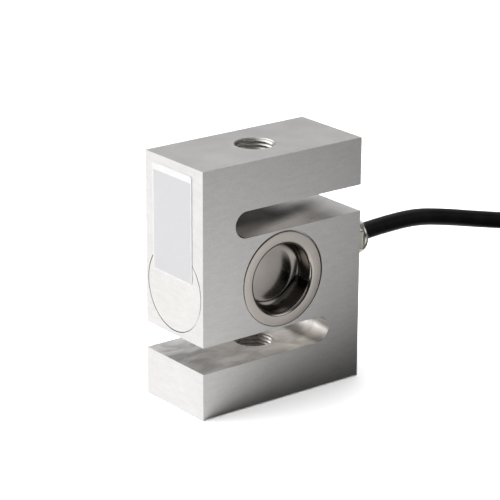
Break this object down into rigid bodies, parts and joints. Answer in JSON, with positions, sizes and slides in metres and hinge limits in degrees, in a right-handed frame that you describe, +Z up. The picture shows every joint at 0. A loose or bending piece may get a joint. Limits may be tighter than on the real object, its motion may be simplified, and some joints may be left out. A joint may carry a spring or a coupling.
{
  "type": "s-beam load cell",
  "caption": "S-shaped metal weighing load cell with a threaded hole in each arm, a gauge bore sealed by drawn cups, and a shielded signal cable in a gland.",
  "frame": {"origin": "on the load axis at the bottom face, in the middle of the lower threaded hole's mouth", "axes": "+Z up along the load axis, +X towards the cable gland, -Y towards the face seen with the front cup"},
  "size_m": [0.1785, 0.0735, 0.065],
  "materials": {
    "nickel_plated_steel": "satin nickel plate on machined steel",
    "drawn_cup_steel": "smooth drawn sheet",
    "cover_steel": "satin nickel plate",
    "label_foil": "plain satin foil",
    "gauge_film": "amber film with a metal grid",
    "tab_copper": "copper pad on film",
    "enamelled_wire": "enamelled copper",
    "board_laminate": "lacquered laminate",
    "chip_resistor": "ceramic chip",
    "solder_tin": "bright tin",
    "core_red": "insulation",
    "core_black": "insulation",
    "core_green": "insulation",
    "core_white": "insulation",
    "seal_rubber": "moulded rubber",
    "gland_nickel": "bright nickel plate",
    "cable_jacket": "matte soft jacket",
    "tie_plastic": "moulded nylon",
    "sleeve_plastic": "shrunk tubing"
  },
  "bodies": {
    "root": {"beam_body": "nickel_plated_steel", "front_seal_cup": "drawn_cup_steel", "rear_seal_cup": "drawn_cup_steel", "side_cover": "cover_steel", "blank_label": "label_foil", "strain_gauge_1": "gauge_film", "strain_gauge_2": "gauge_film", "strain_gauge_3": "gauge_film", "strain_gauge_4": "gauge_film", "solder_tab_1": "tab_copper", "solder_tab_2": "tab_copper", "gauge_jumpers": "enamelled_wire", "bridge_leads": "enamelled_wire", "trim_board": "board_laminate", "trim_resistors": "chip_resistor", "solder_joints": "solder_tin", "inner_core_red": "core_red", "inner_core_black": "core_black", "inner_core_green": "core_green", "inner_core_white": "core_white", "cable_inner_end": "cable_jacket", "gland_washer": "seal_rubber", "gland_body": "gland_nickel", "gland_seal": "seal_rubber", "gland_nut": "gland_nickel", "signal_cable": "cable_jacket", "cable_coil": "cable_jacket", "cable_tie_1": "tie_plastic", "cable_tie_2": "tie_plastic", "jacket_sleeve": "sleeve_plastic", "lead_red": "core_red", "lead_black": "core_black", "lead_green": "core_green", "lead_white": "core_white", "tinned_end_red": "solder_tin", "tinned_end_black": "solder_tin", "tinned_end_green": "solder_tin", "tinned_end_white": "solder_tin", "shield_drain": "solder_tin"}
  },
  "joints": []
}
